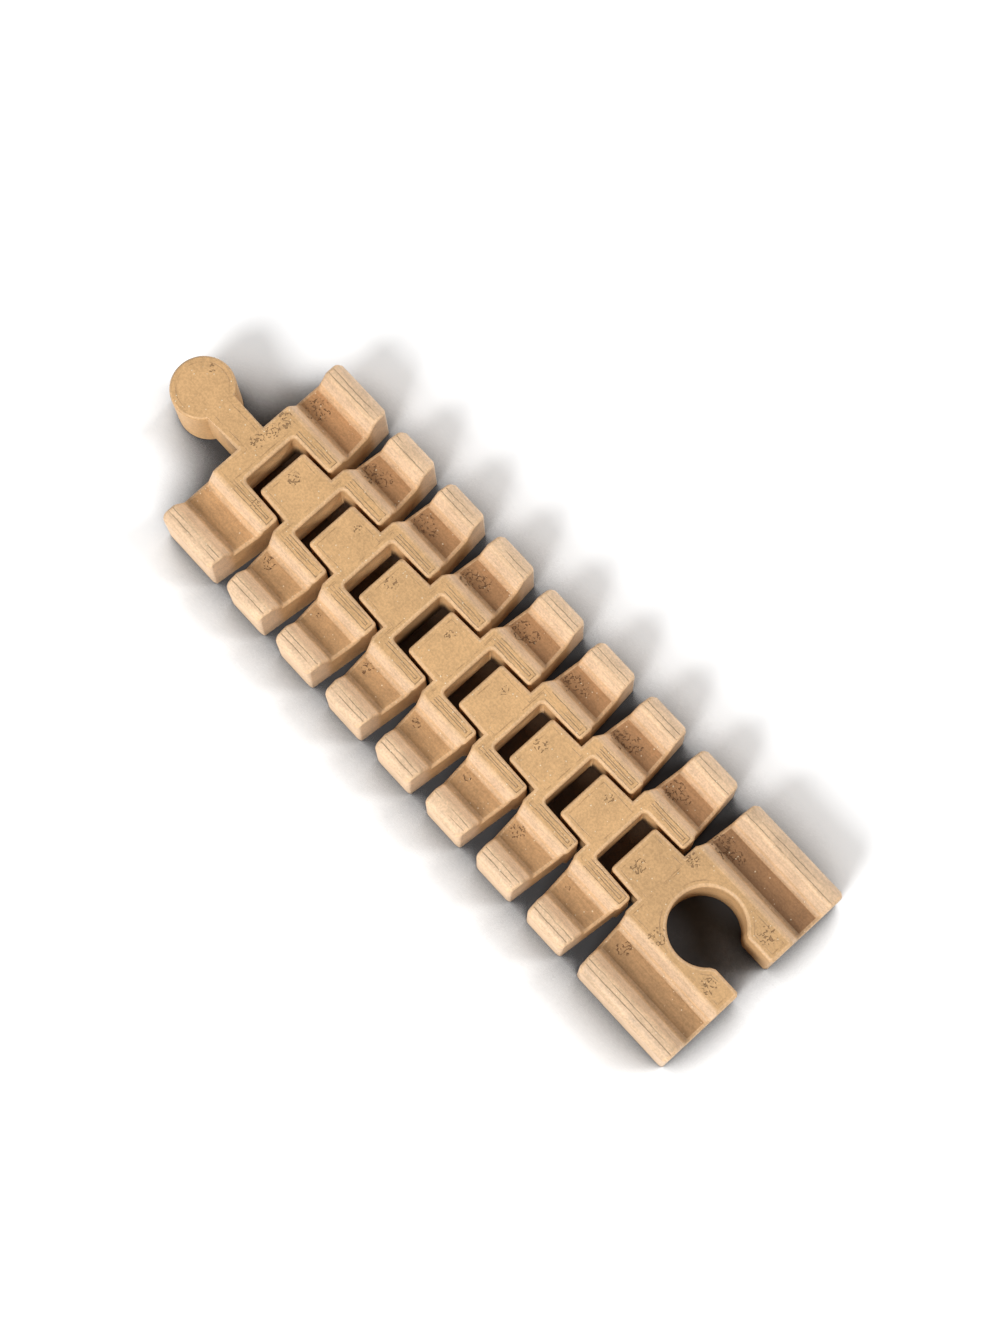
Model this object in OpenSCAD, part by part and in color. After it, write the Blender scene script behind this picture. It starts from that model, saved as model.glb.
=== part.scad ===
// Flexible toy railway track for wooden trains.
// A row of short links lies between a link with a round peg and a link with a keyhole socket.
// Each link's tongue sits in the fork of the link before it and swivels sideways on a captive post.
// +X points along the track to the peg, +Y is the left rail seen from behind the socket, +Z is up.
// The origin is the middle of the underside of the whole track.

/* [Track] */
// Width across both rails
track_width = 40; // [38:0.5:42]
// Thickness of the track
track_height = 12; // [11:0.5:14]
// Distance from one swivel to the next
link_pitch = 12.3; // [12.2:0.1:13]
// Number of links between the two end links
middle_link_count = 7; // [1:1:20]

/* [Cross section] */
// Half width of the deck between the wheel grooves, at the top
deck_half_width = 8.5; // [8:0.1:9]
// Distance from the middle of the track to the inner edge of a groove floor
groove_floor_inner = 10; // [9.5:0.1:10.5]
// Distance from the middle of the track to the outer edge of a groove floor
groove_floor_outer = 15; // [14.5:0.1:15.5]
// Distance from the middle of the track to the inner edge of a rail top
rail_inner = 16.8; // [16.2:0.1:17.4]
// Depth of the wheel grooves
groove_depth = 3; // [2:0.25:3.5]
// Width of the bevel on the outer top edge of a rail
rail_bevel = 1; // [0.4:0.1:1.4]
// Size of the bevel on the outer bottom edges
foot_bevel = 0.4; // [0.2:0.1:0.8]

/* [Link outline] */
// Length of a tongue
tongue_length = 6.7; // [6.5:0.1:7]
// Half width of a tongue at its front
tongue_front_half = 4.95; // [4.7:0.05:5]
// Half width of a tongue at its root
tongue_root_half = 5.25; // [5.1:0.05:5.3]
// Thickness of the web between the shoulders and the next slot
web_length = 2.55; // [2.3:0.05:2.8]
// Half width of a slot at its back wall
slot_back_half = 5.5; // [5.45:0.05:5.6]
// Half width of a slot at its mouth
slot_mouth_half = 5.75; // [5.7:0.05:5.9]
// Length of the fork arms beside a slot
arm_length = 8.85; // [8.6:0.05:8.9]
// Half width of the straight part of the shoulders
shoulder_half_width = 7.8; // [7.4:0.1:8]
// Step from the straight part of a wing edge back to its slanted part
wing_step = 0.45; // [0.3:0.05:0.7]
// Angle that each wing edge slants back by, for the track to curve
wing_slant = 5.5; // [4:0.5:7]
// Radius of the upright corners of tongues, arms and slots
corner_radius = 0.7; // [0.3:0.1:1]

/* [Swivel] */
// Thickness of the floor under a slot
floor_thickness = 3; // [2.4:0.2:3.4]
// Gap between the swivel post and the hollow of the tongue
swivel_gap = 0.35; // [0.3:0.05:0.4]
// Radius of the neck of a post
post_neck_radius = 1.4; // [1.2:0.1:1.5]
// Radius of the head of a post
post_head_radius = 2.2; // [2:0.1:2.3]
// Height of a post above the floor
post_height = 5.7; // [5:0.1:6]

/* [Ends] */
// Length of the peg link between its end face and its slot
peg_link_web = 4.85; // [4:0.05:7]
// Distance from the end face to the centre of the peg
peg_reach = 12; // [11.5:0.1:13]
// Radius of the peg
peg_radius = 5.7; // [5.4:0.1:5.9]
// Width of the neck of the peg
peg_neck_width = 5.8; // [5:0.1:6.2]
// Size of the bevel round the peg
peg_bevel = 0.5; // [0.2:0.1:0.8]
// Distance from the shoulders of the socket link to its end face
socket_link_length = 22.2; // [21:0.1:26]
// Distance from the end face to the centre of the socket
socket_reach = 11.4; // [11.2:0.1:11.8]
// Radius of the socket
socket_radius = 6.5; // [6.2:0.1:6.7]
// Half width of the mouth of the socket
mouth_half_width = 3.6; // [3.3:0.1:3.7]
// Size of the bevels on the lips of the mouth
lip_bevel = 0.5; // [0.2:0.1:0.6]

/* [Hidden] */
$fn = 96;
overlap = 0.5;
corner_steps = 6;
root_x = -tongue_length / 2;
slot_back_x = root_x - web_length;
arm_tip_x = slot_back_x - arm_length;
peg_face_x = slot_back_x + peg_link_web;
socket_face_x = root_x - socket_link_length;
half_width = track_width / 2;
slant_reach = (half_width - deck_half_width) * tan(wing_slant);
first_link_x = ((middle_link_count + 1) * link_pitch - socket_face_x
    - (peg_face_x + peg_reach + peg_radius)) / 2;

// Length 1 vector the way of v.
function unit(v) = v / norm(v);

// Points of the arc of radius r that rounds the corner at b on the way from a to c.
function corner_arc(a, b, c, r) =
    let (
        back = unit(a - b),
        ahead = unit(c - b),
        half = acos(back * ahead) / 2,
        centre = b + unit(back + ahead) * r / sin(half),
        start = b + back * r / tan(half) - centre,
        first = atan2(start.y, start.x),
        sweep = sign(cross(b - a, c - b)) * (180 - 2 * half)
    )
    [for (step = [0:corner_steps])
        centre + r * [cos(first + sweep * step / corner_steps), sin(first + sweep * step / corner_steps)]];

// Outline through corners, each [x, y, radius], with the radius 0 for a sharp one.
function rounded_outline(corners) =
    let (last = len(corners) - 1)
    [for (i = [0:last])
        let (
            a = corners[i == 0 ? last : i - 1],
            b = corners[i],
            c = corners[i == last ? 0 : i + 1]
        )
        each b.z == 0 ? [[b.x, b.y]] : corner_arc([a.x, a.y], [b.x, b.y], [c.x, c.y], b.z)];

// Left half of an outline, with its mirror image joined on in reverse.
function both_sides(corners) =
    concat(corners, [for (i = [len(corners) - 1:-1:0]) [corners[i].x, -corners[i].y, corners[i].z]]);

// Left half of the track's cross section, as [y, z] from the foot up to the deck.
function half_section() = [
    [half_width - foot_bevel, 0],
    [half_width, foot_bevel],
    [half_width, track_height - rail_bevel],
    [half_width - rail_bevel, track_height],
    [rail_inner, track_height],
    [groove_floor_outer, track_height - groove_depth],
    [groove_floor_inner, track_height - groove_depth],
    [deck_half_width, track_height]
];

// Left corners of the slanted edge of a wing on the peg side.
function wing_back(x) = [
    [x - wing_step - slant_reach, half_width, 0],
    [x - wing_step, deck_half_width, 0],
    [x, shoulder_half_width, 0]
];

// Left corners of a slot, a fork arm and the slanted edge of its wing on the socket side.
fork_corners = [
    [slot_back_x, slot_back_half, corner_radius],
    [arm_tip_x, slot_mouth_half, corner_radius],
    [arm_tip_x, deck_half_width, 0],
    [arm_tip_x + wing_step, deck_half_width + wing_step, 0],
    [arm_tip_x + wing_step + slant_reach, half_width, 0]
];

// The track's cross section, as long as from x = low to x = high.
module section_bar(low, high) {
    section = half_section();
    translate([low, 0, 0])
        rotate([90, 0, 90])
        linear_extrude(high - low)
        polygon(concat(section, [for (i = [len(section) - 1:-1:0]) [-section[i].x, section[i].y]]));
}

// An outline seen from above, cut from the cross section.
module cut_from_section(corners, low, high) {
    intersection() {
        section_bar(low, high);
        linear_extrude(track_height)
            polygon(rounded_outline(corners));
    }
}

// The floor that joins the two arms of a fork under its slot.
module slot_floor() {
    linear_extrude(floor_thickness)
        polygon(rounded_outline(both_sides([
            [slot_back_x + overlap, slot_back_half + overlap, 0],
            [arm_tip_x, slot_mouth_half + corner_radius, 0]
        ])));
}

// The post that the next link swivels on, standing on the floor of a slot.
module swivel_post() {
    neck_top = floor_thickness + post_height / 3;
    head_growth = post_head_radius - post_neck_radius;
    head_top = floor_thickness + post_height;
    translate([-link_pitch, 0, 0])
        rotate_extrude()
        polygon([
            [0, floor_thickness - overlap],
            [post_neck_radius, floor_thickness - overlap],
            [post_neck_radius, neck_top],
            [post_head_radius, neck_top + head_growth],
            [post_head_radius, head_top - swivel_gap],
            [post_head_radius - swivel_gap, head_top],
            [0, head_top]
        ]);
}

// The hollow in the underside of a tongue, the gap wider than the post all round.
module swivel_hollow() {
    neck = post_neck_radius + swivel_gap;
    head = post_head_radius + swivel_gap;
    neck_top = floor_thickness + post_height / 3 - swivel_gap * (sqrt(2) - 1);
    rotate_extrude()
        polygon([
            [0, 0],
            [neck, 0],
            [neck, neck_top],
            [head, neck_top + head - neck],
            [head, floor_thickness + post_height + swivel_gap],
            [0, floor_thickness + post_height + swivel_gap]
        ]);
}

// The tongue of a link, with its hollow for the post before it.
module tongue() {
    underside = floor_thickness + swivel_gap;
    difference() {
        translate([0, 0, underside])
            linear_extrude(track_height - underside)
            polygon(rounded_outline(both_sides([
                [root_x - overlap, tongue_root_half, 0],
                [root_x, tongue_root_half, 0],
                [-root_x, tongue_front_half, corner_radius]
            ])));
        swivel_hollow();
    }
}

// A link's plate with a fork at its socket side, and the post that stands in the fork.
module fork(back, high) {
    cut_from_section(both_sides(concat(fork_corners, back)), arm_tip_x, high);
    slot_floor();
    swivel_post();
}

// The round peg and its neck, reaching out from the end face.
module peg() {
    translate([peg_face_x + peg_reach, 0, 0])
        rotate_extrude()
        polygon([
            [0, 0],
            [peg_radius - peg_bevel, 0],
            [peg_radius, peg_bevel],
            [peg_radius, track_height - peg_bevel],
            [peg_radius - peg_bevel, track_height],
            [0, track_height]
        ]);
    translate([peg_face_x - overlap, -peg_neck_width / 2, 0])
        cube([peg_reach + overlap, peg_neck_width, track_height]);
}

// The keyhole that takes another track's peg.
module socket_space() {
    lip_x = socket_face_x + socket_reach - sqrt(pow(socket_radius, 2) - pow(mouth_half_width, 2));
    hole_half = mouth_half_width + lip_bevel;
    hole_x = socket_face_x + socket_reach - sqrt(pow(socket_radius, 2) - pow(hole_half, 2));
    translate([socket_face_x + socket_reach, 0, -overlap])
        cylinder(r = socket_radius, h = track_height + 2 * overlap);
    translate([0, 0, -overlap])
        linear_extrude(track_height + 2 * overlap)
        polygon(rounded_outline(both_sides([
            [hole_x, hole_half, 0],
            [lip_x - lip_bevel, mouth_half_width, 0],
            [socket_face_x + lip_bevel, mouth_half_width, 0],
            [socket_face_x - overlap, hole_half + overlap, 0]
        ])));
}

// The end link with the peg.
module peg_link() {
    color("burlywood") {
        fork([[peg_face_x, half_width, 0]], peg_face_x);
        peg();
    }
}

// One of the links between the ends.
module middle_link() {
    color("burlywood") {
        fork(wing_back(root_x), root_x);
        tongue();
    }
}

// The end link with the socket.
module socket_link() {
    color("burlywood") {
        difference() {
            cut_from_section(
                both_sides(concat([[socket_face_x, half_width, 0]], wing_back(root_x))),
                socket_face_x,
                root_x
            );
            socket_space();
        }
        tongue();
    }
}

// Puts a link at its place in the row, counted from the peg.
module in_row(place) {
    translate([first_link_x - place * link_pitch, 0, 0])
        children();
}

in_row(0) peg_link();
for (number = [1:middle_link_count])
    in_row(number) middle_link();
in_row(middle_link_count + 1) socket_link();
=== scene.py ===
"""Looks of a flexible toy railway track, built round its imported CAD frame.

Every link is a rounded copy of its CAD node, printed in wood-filled plastic. Lengths are in metres in
the scene and in millimetres inside the materials and the link shapes, which is how a maker reads them.
"""

from __future__ import annotations

import logging
import math
from dataclasses import dataclass
from enum import Enum
from typing import Union

import bmesh
import bpy
from mathutils import Matrix, Vector


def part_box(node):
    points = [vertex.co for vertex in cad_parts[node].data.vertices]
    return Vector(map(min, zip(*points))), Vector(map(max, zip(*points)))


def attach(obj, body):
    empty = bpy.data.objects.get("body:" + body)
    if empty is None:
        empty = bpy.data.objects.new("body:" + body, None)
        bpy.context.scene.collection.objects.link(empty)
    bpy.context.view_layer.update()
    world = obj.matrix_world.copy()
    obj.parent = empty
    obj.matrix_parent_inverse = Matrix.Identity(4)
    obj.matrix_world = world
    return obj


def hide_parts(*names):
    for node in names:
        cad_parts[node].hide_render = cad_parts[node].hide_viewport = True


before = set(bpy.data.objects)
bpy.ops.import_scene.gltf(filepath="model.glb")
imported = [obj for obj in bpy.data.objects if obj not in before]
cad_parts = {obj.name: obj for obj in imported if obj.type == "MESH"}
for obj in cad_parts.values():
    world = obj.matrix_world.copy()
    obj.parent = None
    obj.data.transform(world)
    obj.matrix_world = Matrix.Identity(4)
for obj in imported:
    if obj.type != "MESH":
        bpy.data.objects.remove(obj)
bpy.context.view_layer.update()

LOG = logging.getLogger("flexible_track")
MM = 0.001
SNUG = 0.05
PEG_NAME = "peg_link"
SOCKET_NAME = "socket_link"
MIDDLE_PREFIX = "middle_link_"
# Face layer of the rounded edges, which get a painted highlight.
RIM_HIGHLIGHT_LAYER = "rim_highlight"

Socket = bpy.types.NodeSocket
Value = Union[float, Socket]
Rgb = tuple[float, float, float]
Colour = tuple[float, float, float, float]
Span = tuple[float, float]


class LinkKind(Enum):
    """The three shapes of link in the track."""

    PEG = "peg"
    MIDDLE = "middle"
    SOCKET = "socket"


class SurfacePart(Enum):
    """Outputs of the link map, by what they mark on a link."""

    OUTLINE = "Outline"
    NARROW = "Narrow"
    GROOVE = "Groove"
    SLOPE = "Slope"
    RAIL = "Rail"
    # Walls and floors inside the slots, painted dark as shade.
    SLOT_SHADE = "SlotShade"
    TOP = "Top"


@dataclass(frozen=True)
class TrackSizes:
    """Sizes of the links, in millimetres. Places along a link are measured from its own swivel.

    Attributes:
        pitch: Distance from one swivel to the next.
        height: Height of the deck and rail tops.
        half_width: Half width of the track.
        deck_half: Half width of the deck.
        groove_depth: Depth of a groove.
        groove_width: Width of a groove floor.
        deck_slope: Run of the slope between the deck and a groove floor.
        rail_slope: Run of the slope between a groove floor and a rail.
        rail_bevel: Bevel along a rail's outer edge.
        tongue_half: Half width of a tongue.
        tongue_gap: Gap beside a tongue.
        root: Where a tongue meets its shoulders.
        web: Thickness of the wall between a slot and a tongue.
        arm_length: Length of a fork arm.
        peg_face: End face of the peg link.
        peg_reach: From that face to the centre of the peg.
        peg_radius: Radius of the peg.
        neck_half: Half width of the peg's neck.
        socket_face: End face of the socket link.
        socket_reach: From that face to the centre of the socket.
        socket_radius: Radius of the socket.
        mouth_half: Half width of the socket's mouth.
    """

    pitch: float = 12.3
    height: float = 12.0
    half_width: float = 20.0
    deck_half: float = 8.5
    groove_depth: float = 3.0
    groove_width: float = 5.0
    deck_slope: float = 1.5
    rail_slope: float = 1.8
    rail_bevel: float = 1.0
    tongue_half: float = 5.1
    tongue_gap: float = 0.5
    root: float = -3.35
    web: float = 2.55
    arm_length: float = 8.85
    peg_face: float = -1.05
    peg_reach: float = 12.0
    peg_radius: float = 5.7
    neck_half: float = 2.9
    socket_face: float = -25.55
    socket_reach: float = 11.4
    socket_radius: float = 6.5
    mouth_half: float = 3.6

    @property
    def groove_floor(self) -> float:
        """Height of a groove floor."""
        return self.height - self.groove_depth

    @property
    def groove_inner(self) -> float:
        """Inner edge of a groove floor."""
        return self.deck_half + self.deck_slope

    @property
    def groove_outer(self) -> float:
        """Outer edge of a groove floor."""
        return self.groove_inner + self.groove_width

    @property
    def groove_middle(self) -> float:
        """Middle of a groove floor."""
        return self.groove_inner + 0.5 * self.groove_width

    @property
    def rail_inner(self) -> float:
        """Inner edge of a rail top."""
        return self.groove_outer + self.rail_slope

    @property
    def rail_outer(self) -> float:
        """Outer edge of a rail top."""
        return self.half_width - self.rail_bevel

    @property
    def slot_half(self) -> float:
        """Half width of a slot."""
        return self.tongue_half + self.tongue_gap

    @property
    def slot_back(self) -> float:
        """Back wall of a slot."""
        return self.root - self.web

    @property
    def arm_tip(self) -> float:
        """Tip of a fork arm."""
        return self.slot_back - self.arm_length

    @property
    def peg_centre(self) -> float:
        """Centre of the peg."""
        return self.peg_face + self.peg_reach

    @property
    def socket_centre(self) -> float:
        """Centre of the socket."""
        return self.socket_face + self.socket_reach


@dataclass(frozen=True)
class PitSpot:
    """A patch of small print pits on a link.

    Attributes:
        along: Place along the link from its swivel, in millimetres.
        across: Place across the link, positive to the left.
        radius: Radius of the patch.
    """

    along: float
    across: float
    radius: float


@dataclass(frozen=True)
class LinkFinish:
    """Wood-filled plastic as one link shows it. Colours are scene-linear.

    Attributes:
        base: Colour of the plain surface.
        groove: Colour of the darker groove floors, partly their own tone and partly painted shade.
        rail: Colour of the paler rails, their own tone, and of the groove slopes, where the paleness is a
            painted sheen.
        seed: Shift of the grain pattern, so that no two links match.
        spots: Patches of pits on this link.
        slot_shade: Colour painted at the bottom of the slots as their shade.
        pale: Colour of the pale wood flecks.
        pit: Colour at the bottom of a pit.
        rim_highlight: Paler colour painted on the softly rounded edges as a highlight.
    """

    base: Colour
    groove: Colour
    rail: Colour
    seed: float
    spots: tuple[PitSpot, ...]
    slot_shade: Colour = (0.030, 0.012, 0.006, 1.0)
    pale: Colour = (0.90, 0.75, 0.52, 1.0)
    pit: Colour = (0.16, 0.078, 0.032, 1.0)
    rim_highlight: Colour = (0.70, 0.46, 0.26, 1.0)


@dataclass(frozen=True)
class Noise:
    """Settings of a noise texture.

    Attributes:
        scale: Repeats per millimetre.
        detail: Octaves.
        rough: Share of each finer octave.
    """

    scale: float
    detail: float
    rough: float = 0.5


class Graph:
    """A node tree being written, with short calls for the nodes that the finishes use."""

    COLUMN = 8
    STEP = (200, -170)

    def __init__(self, tree: bpy.types.NodeTree) -> None:
        """Keeps the tree that the nodes go into.

        Args:
            tree: A material's or a group's node tree.
        """
        self.tree = tree
        self.count = 0

    def node(self, kind: str) -> bpy.types.Node:
        """Adds a node.

        Args:
            kind: Blender's name for the kind of node.

        Returns:
            The node, placed in a readable grid.
        """
        made = self.tree.nodes.new(kind)
        column, row = divmod(self.count, self.COLUMN)
        made.location = (self.STEP[0] * column, self.STEP[1] * row)
        self.count += 1
        return made

    def feed(self, socket: Socket, value: Union[Value, Colour]) -> None:
        """Links or sets an input.

        Args:
            socket: The input.
            value: Another node's output, or a plain value.
        """
        if isinstance(value, bpy.types.NodeSocket):
            self.tree.links.new(value, socket)
        else:
            socket.default_value = value

    def math(self, operation: str, *values: Value) -> Socket:
        """Adds a Math node.

        Args:
            operation: Blender's name for the operation.
            *values: The numbers that it takes.

        Returns:
            The result.
        """
        made = self.node("ShaderNodeMath")
        made.operation = operation
        for socket, value in zip(made.inputs, values):
            self.feed(socket, value)
        return made.outputs[0]

    def chain(self, operation: str, values: tuple[Value, ...]) -> Socket:
        """Joins several numbers by one operation.

        Args:
            operation: Blender's name for the operation.
            values: The numbers.

        Returns:
            The result.
        """
        result = values[0]
        for value in values[1:]:
            result = self.math(operation, result, value)
        return result

    def least(self, *values: Value) -> Socket:
        """Smallest of several numbers."""
        return self.chain("MINIMUM", values)

    def most(self, *values: Value) -> Socket:
        """Largest of several numbers."""
        return self.chain("MAXIMUM", values)

    def product(self, *values: Value) -> Socket:
        """Product of several numbers."""
        return self.chain("MULTIPLY", values)

    def less(self, first: Value, second: Value) -> Socket:
        """The first number less the second."""
        return self.math("SUBTRACT", first, second)

    def add_share(self, total: Value, value: Value, share: Value) -> Socket:
        """A total with a share of another number added."""
        return self.math("MULTIPLY_ADD", value, share, total)

    def reach(self, first: Value, second: Value) -> Socket:
        """Length of the slanted side over two square sides."""
        return self.math("SQRT", self.math("ADD", self.product(first, first), self.product(second, second)))

    def ramp(self, value: Value, low: float, high: float, start: float, end: float) -> Socket:
        """Adds a smooth step.

        Args:
            value: The number that is stepped.
            low: Where the step starts.
            high: Where the step ends.
            start: Result at and below low.
            end: Result at and above high.

        Returns:
            A number that goes smoothly from start to end.
        """
        made = self.node("ShaderNodeMapRange")
        made.interpolation_type = "SMOOTHSTEP"
        settings = {"Value": value, "From Min": low, "From Max": high, "To Min": start, "To Max": end}
        for name, number in settings.items():
            self.feed(made.inputs[name], number)
        return made.outputs[0]

    def rise(self, value: Value, span: Span, base: float = 0.0) -> Socket:
        """A smooth step from 0 to 1 over a span that is measured from a base."""
        return self.ramp(value, base + span[0], base + span[1], 0.0, 1.0)

    def fall(self, value: Value, span: Span, base: float = 0.0) -> Socket:
        """A smooth step from 1 to 0 over a span that is measured from a base."""
        return self.ramp(value, base + span[0], base + span[1], 1.0, 0.0)

    def noise(self, place: Socket, noise: Noise) -> Socket:
        """Adds a noise texture.

        Args:
            place: Coordinates, in millimetres.
            noise: Settings of the texture.

        Returns:
            A number round 0.5.
        """
        made = self.node("ShaderNodeTexNoise")
        self.feed(made.inputs["Vector"], place)
        made.inputs["Scale"].default_value = noise.scale
        made.inputs["Detail"].default_value = noise.detail
        made.inputs["Roughness"].default_value = noise.rough
        return made.outputs["Fac"]

    def cells(self, place: Socket, scale: float) -> tuple[Socket, Socket]:
        """Adds a Voronoi texture.

        Args:
            place: Coordinates, in millimetres.
            scale: Cells per millimetre.

        Returns:
            The distance to the nearest cell's point, and a number that is random for each cell.
        """
        made = self.node("ShaderNodeTexVoronoi")
        self.feed(made.inputs["Vector"], place)
        made.inputs["Scale"].default_value = scale
        return made.outputs["Distance"], self.split(made.outputs["Color"])[0]

    def split(self, vector: Socket) -> tuple[Socket, Socket, Socket]:
        """Takes a vector apart.

        Args:
            vector: The vector.

        Returns:
            Its three parts.
        """
        made = self.node("ShaderNodeSeparateXYZ")
        self.feed(made.inputs[0], vector)
        return made.outputs[0], made.outputs[1], made.outputs[2]

    def stretched(self, place: Socket, factors: Rgb) -> Socket:
        """Stretches coordinates along each axis.

        Args:
            place: Coordinates, in millimetres.
            factors: Factor for each axis.

        Returns:
            The stretched coordinates.
        """
        made = self.node("ShaderNodeVectorMath")
        made.operation = "MULTIPLY"
        self.feed(made.inputs[0], place)
        self.feed(made.inputs[1], factors)
        return made.outputs[0]

    def mix(self, share: Value, first: Union[Colour, Socket], second: Union[Colour, Socket]) -> Socket:
        """Blends two colours.

        Args:
            share: Share of the second colour, from 0 to 1.
            first: Colour at 0.
            second: Colour at 1.

        Returns:
            The blended colour.
        """
        made = self.node("ShaderNodeMix")
        made.data_type = "RGBA"
        self.feed(made.inputs["Factor"], share)
        self.feed(made.inputs[6], first)
        self.feed(made.inputs[7], second)
        return made.outputs[2]

    def scaled(self, colour: Socket, shade: Socket) -> Socket:
        """Brightens or darkens a colour.

        Args:
            colour: The colour.
            shade: Factor for all three parts of it.

        Returns:
            The scaled colour.
        """
        made = self.node("ShaderNodeVectorMath")
        made.operation = "SCALE"
        self.feed(made.inputs[0], colour)
        self.feed(made.inputs["Scale"], shade)
        return made.outputs[0]


def new_group(name: str, inputs: dict[str, str], outputs: tuple[str, ...]) -> tuple[Graph, dict, dict]:
    """Starts a node group whose outputs are numbers.

    Args:
        name: Name of the group.
        inputs: Kind of socket for each input, without its common start.
        outputs: Names of the outputs.

    Returns:
        The graph, its inputs by name, and the sockets that its outputs are fed through.
    """
    tree = bpy.data.node_groups.new(name, "ShaderNodeTree")
    for label, kind in inputs.items():
        tree.interface.new_socket(name=label, in_out="INPUT", socket_type=f"NodeSocket{kind}")
    for label in outputs:
        tree.interface.new_socket(name=label, in_out="OUTPUT", socket_type="NodeSocketFloat")
    graph = Graph(tree)
    start = graph.node("NodeGroupInput")
    end = graph.node("NodeGroupOutput")
    return graph, {n: start.outputs[n] for n in inputs}, {n: end.inputs[n] for n in outputs}


@dataclass(frozen=True)
class DeckPlan:
    """A link's deck seen from above.

    Attributes:
        outline: Distance inside the deck's outline.
        narrow: Mask of the deck's narrow parts.
        slot: Mask of the length that holds a slot.
    """

    outline: Value
    narrow: Value
    slot: Value


@dataclass(frozen=True)
class DeckPoint:
    """A point on a link, seen from above.

    Attributes:
        graph: Graph that its place is read in.
        x: Place along the link.
        y: Place across the link.
        side: Distance from the middle of the track.
    """

    graph: Graph
    x: Socket
    y: Socket
    side: Socket

    def reach_from(self, centre: float) -> Socket:
        """Distance from a point on the middle of the track."""
        return self.graph.reach(self.graph.less(self.x, centre), self.y)

    def slab(self, ends: Span, half: float) -> Socket:
        """Depth inside a block that lies across the middle of a link.

        Args:
            ends: Low and high end of the block along the link.
            half: Half width of the block.

        Returns:
            Distance to the block's nearest side, positive inside.
        """
        less = self.graph.less
        return self.graph.least(less(self.x, ends[0]), less(ends[1], self.x), less(half, self.side))

    def arms(self, sizes: TrackSizes, shoulder: float) -> Socket:
        """Depth inside the fork arms.

        Args:
            sizes: Sizes of the links.
            shoulder: Where the arms end, away from their tips.

        Returns:
            Distance to an arm's nearest side, positive inside.
        """
        less = self.graph.less
        return self.graph.least(
            less(self.x, sizes.arm_tip),
            less(self.side, sizes.slot_half),
            less(sizes.deck_half, self.side),
            less(shoulder, self.x),
        )


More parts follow.
